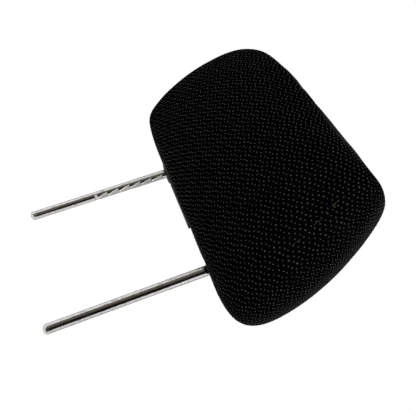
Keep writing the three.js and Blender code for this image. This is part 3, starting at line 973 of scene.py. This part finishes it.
class Look(Tree):
    """A Principled material."""

    def __init__(self, name, **values):
        self.material = bpy.data.materials.new(name)
        self.material.use_nodes = True
        super().__init__(self.material.node_tree)
        self.shader = self.tree.nodes["Principled BSDF"]
        self.place = self.add("TexCoord").outputs["Object"]
        self.wire(**values)

    def wire(self, **sockets):
        for name, value in sockets.items():
            self.put(self.shader.inputs[name.replace("_", " ")], value)
        return self.material

    def stretched(self, scale, source=None):
        return self.add("Mapping", {"Scale": scale, "Vector": source or self.place}).outputs[0]

    def noise(self, scale, detail=3, roughness=0.5, source=None):
        return self.add("TexNoise", {
            "Scale": scale, "Detail": detail, "Roughness": roughness,
            "Vector": source or self.place}).outputs["Fac"]

    def cells(self, scale):
        return self.add("TexVoronoi", {"Scale": scale, "Vector": self.place}).outputs["Distance"]

    def waves(self, scale, source, distortion):
        return self.add("TexWave", {
            "Scale": scale, "Distortion": distortion, "Detail": 1, "Detail Scale": 2,
            "Vector": source}).outputs["Fac"]

    def parts(self, vector):
        return self.add("SeparateXYZ", {0: vector}).outputs

    def ramp(self, source, *stops):
        node = self.add("ValToRGB", {"Fac": source})
        elements = node.color_ramp.elements
        while len(elements) < len(stops):
            elements.new(0.5)
        for element, (place, colour) in zip(elements, stops):
            element.position = place
            element.color = (*colour, 1)
        return node.outputs["Color"]

    def span(self, source, low, high, to_low=0, to_high=1):
        return self.add("MapRange", {
            "Value": source, "From Min": low, "From Max": high,
            "To Min": to_low, "To Max": to_high}).outputs["Result"]

    def mix(self, factor, one, two):
        one, two = ((*end, 1) if isinstance(end, tuple) else end for end in (one, two))
        return self.add("Mix", {0: factor, 6: one, 7: two}, data_type="RGBA").outputs[2]

    def bump(self, height, distance, before=None):
        node = self.add("Bump", {"Distance": distance * MM, "Height": height})
        if before is not None:
            self.put(node.inputs["Normal"], before)
        return node.outputs["Normal"]

    def finish(self, colour, rough, height, distance, before=None):
        """Joins the colour, the roughness (a source and what it runs between) and the relief."""
        source, low, high = rough
        return self.wire(Base_Color=colour, Roughness=self.span(source, 0.3, 0.7, low, high),
                         Normal=self.bump(height, distance, before))

    def flat(self):
        return self.add("UVMap", uv_map="cloth").outputs["UV"]


def knit_look():
    """Black double knit: small cells along the two directions of the pattern, and a painted
    sheen on the right side, behind the ridge.
    """
    look = Look("black_knit", Specular_IOR_Level=0.0, Sheen_Weight=0.0, Roughness=0.9)
    flat = look.flat()
    weave = look.maths("MULTIPLY", *(look.waves(0.5, look.stretched(way, flat), 0.6)
                                     for way in ((1, 1, 1), (1, -1, 1))))
    hair = look.noise(2600, 2)
    patches = look.noise(60, 3)
    height = look.maths("MULTIPLY_ADD", weave, 0.7, look.maths("MULTIPLY", hair, 0.5))
    colour = look.mix(weave, (0.0004,) * 3, (0.0022,) * 3)
    colour = look.mix(look.span(patches, 0.35, 0.7, 0, 0.5), colour, (0.0026,) * 3)
    # Painted sheen: a paler, hazy colour on the right side, behind the ridge.
    right = look.span(look.parts(look.place)[0], PAINTED_SHEEN_SIDE[0] * MM, PAINTED_SHEEN_SIDE[1] * MM)
    through = look.add("VectorMath", {0: look.place, 1: tuple(T_AXIS)}, operation="DOT_PRODUCT")
    behind = look.span(through.outputs[1], PAINTED_SHEEN_DEPTH[0] * MM, PAINTED_SHEEN_DEPTH[1] * MM)
    painted_sheen_mask = look.maths("MULTIPLY", right, look.maths("POWER", behind, 1.6))
    painted_sheen_colour = look.mix(hair, PAINTED_SHEEN_DARK, PAINTED_SHEEN_LIGHT)
    colour = look.mix(painted_sheen_mask, colour, painted_sheen_colour)
    return look.finish(colour, (hair, 0.82, 0.97), height, 0.35)


def dot_look():
    look = Look("dot_thread", Specular_IOR_Level=0.15, Roughness=0.8)
    tone = look.add("Attribute", attribute_name="dot_shade").outputs["Fac"]
    fibre = look.noise(3800, 2)
    base = look.mix(tone, (0.055, 0.056, 0.055), (0.125, 0.126, 0.109))
    colour = look.mix(look.span(fibre, 0.35, 0.65), base, (0.03, 0.03, 0.03))
    return look.finish(colour, (fibre, 0.7, 0.95), fibre, 0.12)


def plain_cloth_look():
    """Black woven cloth: fine threads over and under each other."""
    look = Look("black_woven", Specular_IOR_Level=0.04, Sheen_Weight=0.02, Sheen_Roughness=0.5,
                Roughness=0.9)
    weave = look.maths("MULTIPLY", *(look.waves(180, look.stretched(way), 0.4)
                                     for way in ((1, 0, 0), (0, 0, 1))))
    hair = look.noise(2400, 2)
    patches = look.noise(50, 3)
    height = look.maths("ADD", weave, look.maths("MULTIPLY", hair, 0.5))
    colour = look.mix(weave, (0.004, 0.004, 0.0042), (0.016, 0.016, 0.017))
    colour = look.mix(look.span(patches, 0.35, 0.7, 0, 0.5), colour, (0.018, 0.018, 0.019))
    return look.finish(colour, (hair, 0.85, 0.98), height, 0.3)


def thread_look():
    look = Look("seam_thread", Specular_IOR_Level=0.2, Roughness=0.7)
    twist = look.noise(3000, 2)
    colour = look.ramp(twist, (0.3, (0.004, 0.004, 0.004)), (0.7, (0.016, 0.016, 0.017)))
    return look.finish(colour, (twist, 0.55, 0.8), twist, 0.1)


def chrome_look():
    """Chrome plate with fine wear along the rods and dull spots."""
    look = Look("chrome_plate", Metallic=1.0, Roughness=0.12, Specular_Tint=(0.3, 0.3, 0.3, 1))
    along = look.stretched((1, 1, 0.09))
    streaks = look.noise(900, 4, 0.6, along)
    spots = look.noise(700, 4, 0.65, look.stretched((1, 1, 0.4)))
    cloud = look.noise(28, 3)
    worn = look.span(spots, 0.5, 0.66)
    colour = look.mix(worn, (0.56, 0.56, 0.55), (0.3, 0.275, 0.24))
    rough = look.maths("ADD", look.span(streaks, 0.35, 0.7, 0.05, 0.14),
                       look.span(cloud, 0.4, 0.7, 0, 0.05))
    rough = look.maths("ADD", rough, look.span(spots, 0.5, 0.66, 0, 0.12))
    normal = look.bump(streaks, 0.03)
    normal = look.bump(spots, 0.03, normal)
    return look.wire(Base_Color=colour, Roughness=rough, Normal=normal)


def plastic_look(name, dark, light, grain):
    """Moulded plastic with a fine grain and scuffs."""
    look = Look(name, Specular_IOR_Level=0.15, Roughness=0.6)
    grains = look.cells(grain)
    cloud = look.noise(120, 4)
    scuff = look.noise(500, 4, 0.7, look.stretched((0.2, 1, 1)))
    colour = look.mix(look.span(cloud, 0.35, 0.7), dark, light)
    return look.finish(colour, (scuff, 0.5, 0.75), grains, 0.06)


def foam_look():
    look = Look("seat_foam", Specular_IOR_Level=0.2, Roughness=0.95)
    pores = look.cells(900)
    cloud = look.noise(40, 4)
    colour = look.mix(look.span(cloud, 0.35, 0.7), (0.09, 0.086, 0.07), (0.13, 0.12, 0.09))
    colour = look.mix(look.span(pores, 0.0, 0.35, 1, 0), colour, (0.04, 0.038, 0.03))
    return look.wire(Base_Color=colour, Roughness=look.span(pores, 0, 0.5, 0.98, 0.88),
                     Normal=look.bump(pores, 0.4))


def zinc_look():
    look = Look("zinc_steel", Metallic=1.0, Roughness=0.35)
    cloud = look.noise(300, 4)
    lines = look.noise(1500, 2, 0.5, look.stretched((1, 0.1, 1)))
    colour = look.mix(look.span(cloud, 0.3, 0.7), (0.42, 0.41, 0.36), (0.36, 0.37, 0.38))
    return look.finish(colour, (lines, 0.25, 0.5), lines, 0.03)


def lint_look():
    look = Look("lint", Specular_IOR_Level=0.1, Roughness=0.9)
    patches = look.noise(900, 2)
    colour = look.ramp(patches, (0.35, (0.08, 0.08, 0.055)), (0.65, (0.17, 0.165, 0.115)))
    return look.wire(Base_Color=colour, Roughness=look.span(patches, 0.3, 0.7, 0.85, 0.98))


def paint(made, material):
    if made.data.materials:
        for index in range(len(made.data.materials)):
            made.data.materials[index] = material
    else:
        made.data.materials.append(material)


# Lint on the ridge.


def ray_to(pixel):
    """The direction from the camera through a pixel of the photograph."""
    focal = CAMERA_LENS / SENSOR * PICTURE
    right = (pixel[0] - PICTURE / 2) / focal
    down = (pixel[1] - PICTURE / 2) / focal
    ray = Vector(CAMERA_FORWARD) + right * Vector(CAMERA_RIGHT) + down * Vector(CAMERA_DOWN)
    return ray.normalized()


# Each fibre: its radius in millimetres and the pixels of the photograph that it passes.
LINT_FIBRES = (
    (0.10, ((331.5, 206.5), (334, 204), (336.5, 201))),
    (0.09, ((334, 204), (334.5, 207.5))),
    (0.12, ((325.2, 211.4), (326.8, 212.6))),
    (0.05, ((321, 219), (317.5, 221), (312, 226))),
    (0.035, ((302, 238), (297, 241.5), (292, 244))),
    (0.07, ((268.6, 268.3), (269.4, 267.7))),
    (0.06, ((263.5, 272.2), (264.5, 271.8))),
    (0.07, ((258.7, 276.4), (259.3, 275.6))),
    (0.08, ((252.6, 285.2), (253.4, 284.6))),
)


def make_lint(cover):
    """A few pale fibres rubbed on to the ridge between the front and the side."""
    mesh = cover.data
    points = [v.co.copy() for v in mesh.vertices]
    tree = BVHTree.FromPolygons(points, [tuple(p.vertices) for p in mesh.polygons])
    lines, radii = [], []
    for radius, corners in LINT_FIBRES:
        path = np.array(corners, float)
        at = np.linspace(0, len(path) - 1, 7)
        across, down = (np.interp(at, np.arange(len(path)), path[:, axis]) for axis in (0, 1))
        line = []
        for spot in zip(across, down):
            near = [float(part) + rng.gauss(0, 0.12) for part in spot]
            place, normal, _, _ = tree.ray_cast(Vector(CAMERA_PLACE), ray_to(near))
            if place is not None:
                line.append((place + normal * MM * (DOT_HEIGHT + 0.1)) / MM)
        if len(line) > 1:
            lines.append(line)
            radii.append(radius)
    made = thread_object("lint_fibres", lines, radii)
    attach(made, "root")
    return made


# The build.

skin = make_skin()
front = skin.copy()
cut_at_seam(front, -1)
drop_near_rods(front)
open_slot(front)
front.normal_update()
rear = skin
cut_at_seam(rear, 1)
drop_near_rods(rear)
rear.normal_update()

seam_loop = edge_loop(front)
dots = make_dots(dot_places(cloth_triangles(front)))
cover_front = finish_cloth("cover_front", front, "cover_front_panel")
cover_rear = finish_cloth("cover_rear", rear, "cover_rear_panel")
stitches = make_seam_stitches(seam_loop)
hoop = make_hoop()
rosettes = [
    make_rosette(-1, 0, "rod_rosette_left"),
    make_rosette(1, RIGHT_ROSETTE_LIFT, "rod_rosette_right"),
]
hook = make_strip([(-7, 0.3), (4, 0.3), (4, 5.3), (2.5, 5.3), (2.5, 1.8), (-7, 1.8)],
                  "closure_hook_strip")
catch = make_strip([(0.7, 2.1), (2.2, 2.1), (2.2, 5.6), (9, 5.6), (9, 7.1), (0.7, 7.1)],
                   "closure_catch_strip")
foams = [make_foam("foam_front_block"), make_foam("foam_rear_block")]
lint = make_lint(cover_front)

plastic = plastic_look("trim_plastic", (0.004, 0.004, 0.0042), (0.008, 0.008, 0.0084), 1800)
carrier = plastic_look("carrier_plastic", (0.02, 0.02, 0.021), (0.03, 0.03, 0.031), 1200)
zinc = zinc_look()
foam = foam_look()
paint(cover_front, knit_look())
paint(dots, dot_look())
paint(cover_rear, plain_cloth_look())
paint(stitches, thread_look())
paint(hoop, chrome_look())
paint(lint, lint_look())
for made in (*rosettes, hook, catch):
    paint(made, plastic)
for made in foams:
    paint(made, foam)
for name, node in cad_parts.items():
    if name.startswith("carrier"):
        paint(node, zinc if "screw" in name else carrier)


# Floor, light and camera.


def make_floor():
    corners = ((-1, -1), (1, -1), (1, 1), (-1, 1))
    points = [(x * FLOOR_REACH, y * FLOOR_REACH, FLOOR_Z) for x, y in corners]
    made = mesh_object("floor", points, [(0, 1, 2, 3)])
    look = Look("pale_floor", Roughness=1.0, Specular_IOR_Level=0.0, Base_Color=FLOOR_COLOUR)
    glow = look.maths("MULTIPLY", look.seen(), FLOOR_GLOW)
    paint(made, look.wire(Emission_Color=WHITE, Emission_Strength=glow))


def make_world():
    """A white room: plain white where it is seen, softer as a light."""
    world = bpy.data.worlds.new("studio")
    bpy.context.scene.world = world
    world.use_nodes = True
    world.node_tree.nodes.clear()
    tree = Tree(world.node_tree)
    light, white = (tree.add("Background", {"Color": WHITE, "Strength": strength}).outputs[0]
                    for strength in (WORLD_LIGHT, 1.0))
    mixed = tree.add("MixShader", {0: tree.seen(), 1: light, 2: white})
    tree.add("OutputWorld", {"Surface": mixed.outputs[0]})


def make_sun(name, come_from, strength, degrees):
    """A soft light that is the same all over the floor."""
    data = bpy.data.lights.new(name, "SUN")
    data.energy = strength
    data.angle = math.radians(degrees)
    lamp = link(name, data)
    lamp.rotation_mode = "QUATERNION"
    lamp.rotation_quaternion = Vector(come_from).to_track_quat("Z", "Y")


def make_dark_card():
    """A curved card around the camera, which only the metal sees: mottled grey, then black, then
    white like the room, then a pale grey wing higher up."""
    start = math.atan2(CAMERA_PLACE[1], CAMERA_PLACE[0]) + math.radians(CARD_FROM)
    width = math.radians(CARD_TO - CARD_FROM)
    turns = [start + width * step / CARD_STEPS for step in range(CARD_STEPS + 1)]
    points = [(CARD_RADIUS * math.cos(turn), CARD_RADIUS * math.sin(turn), z)
              for turn in turns for z in CARD_HEIGHTS]
    faces = [(2 * step, 2 * step + 2, 2 * step + 3, 2 * step + 1) for step in range(CARD_STEPS)]
    made = mesh_object("dark_card", points, faces)
    flat = made.data.uv_layers.new(name="cloth")
    for face, corners in enumerate(faces):
        for corner, vert in enumerate(corners):
            flat.data[face * 4 + corner].uv = ((vert // 2) / CARD_STEPS, float(vert % 2))
    give(made, visible_camera=False, visible_diffuse=False, visible_shadow=False,
         visible_transmission=False)
    look = Look("dark_card", Specular_IOR_Level=0.0, Roughness=1.0, Base_Color=BLACK)
    across, up, _ = look.parts(look.flat())
    blotch = look.noise(240, 4, 0.65, look.stretched((0.07, 0.07, 1)))
    ragged = look.maths("ADD", across, look.span(blotch, 0.3, 0.7, -0.02, 0.02))
    tone = look.ramp(ragged, *CARD_BANDS)
    spots = look.maths("MULTIPLY", look.span(blotch, 0.44, 0.58),
                       look.ramp(across, *CARD_BLOTCHES))
    spotted = look.mix(spots, tone, (0.05, 0.043, 0.033))
    wing = look.maths("MULTIPLY", look.span(ragged, *CARD_WING),
                      look.span(up, *CARD_WING_FOOT))
    spotted = look.mix(wing, spotted, CARD_WING_COLOUR)
    paint(made, look.wire(Emission_Color=spotted, Emission_Strength=1.0))


def make_camera():
    data = bpy.data.cameras.new("camera")
    give(data, lens=CAMERA_LENS, sensor_width=SENSOR, sensor_fit="HORIZONTAL", clip_start=0.01,
         shift_x=-HALF_PIXEL, shift_y=HALF_PIXEL)
    camera = link("camera", data)
    right, down, forward = (Vector(v) for v in (CAMERA_RIGHT, CAMERA_DOWN, CAMERA_FORWARD))
    turn = Matrix((right, -down, -forward)).transposed().to_4x4()
    camera.matrix_world = Matrix.Translation(CAMERA_PLACE) @ turn
    bpy.context.scene.camera = camera


make_floor()
make_world()
for sun in SUNS:
    make_sun(*sun)
make_dark_card()
make_camera()
bpy.context.scene.view_settings.view_transform = "Standard"
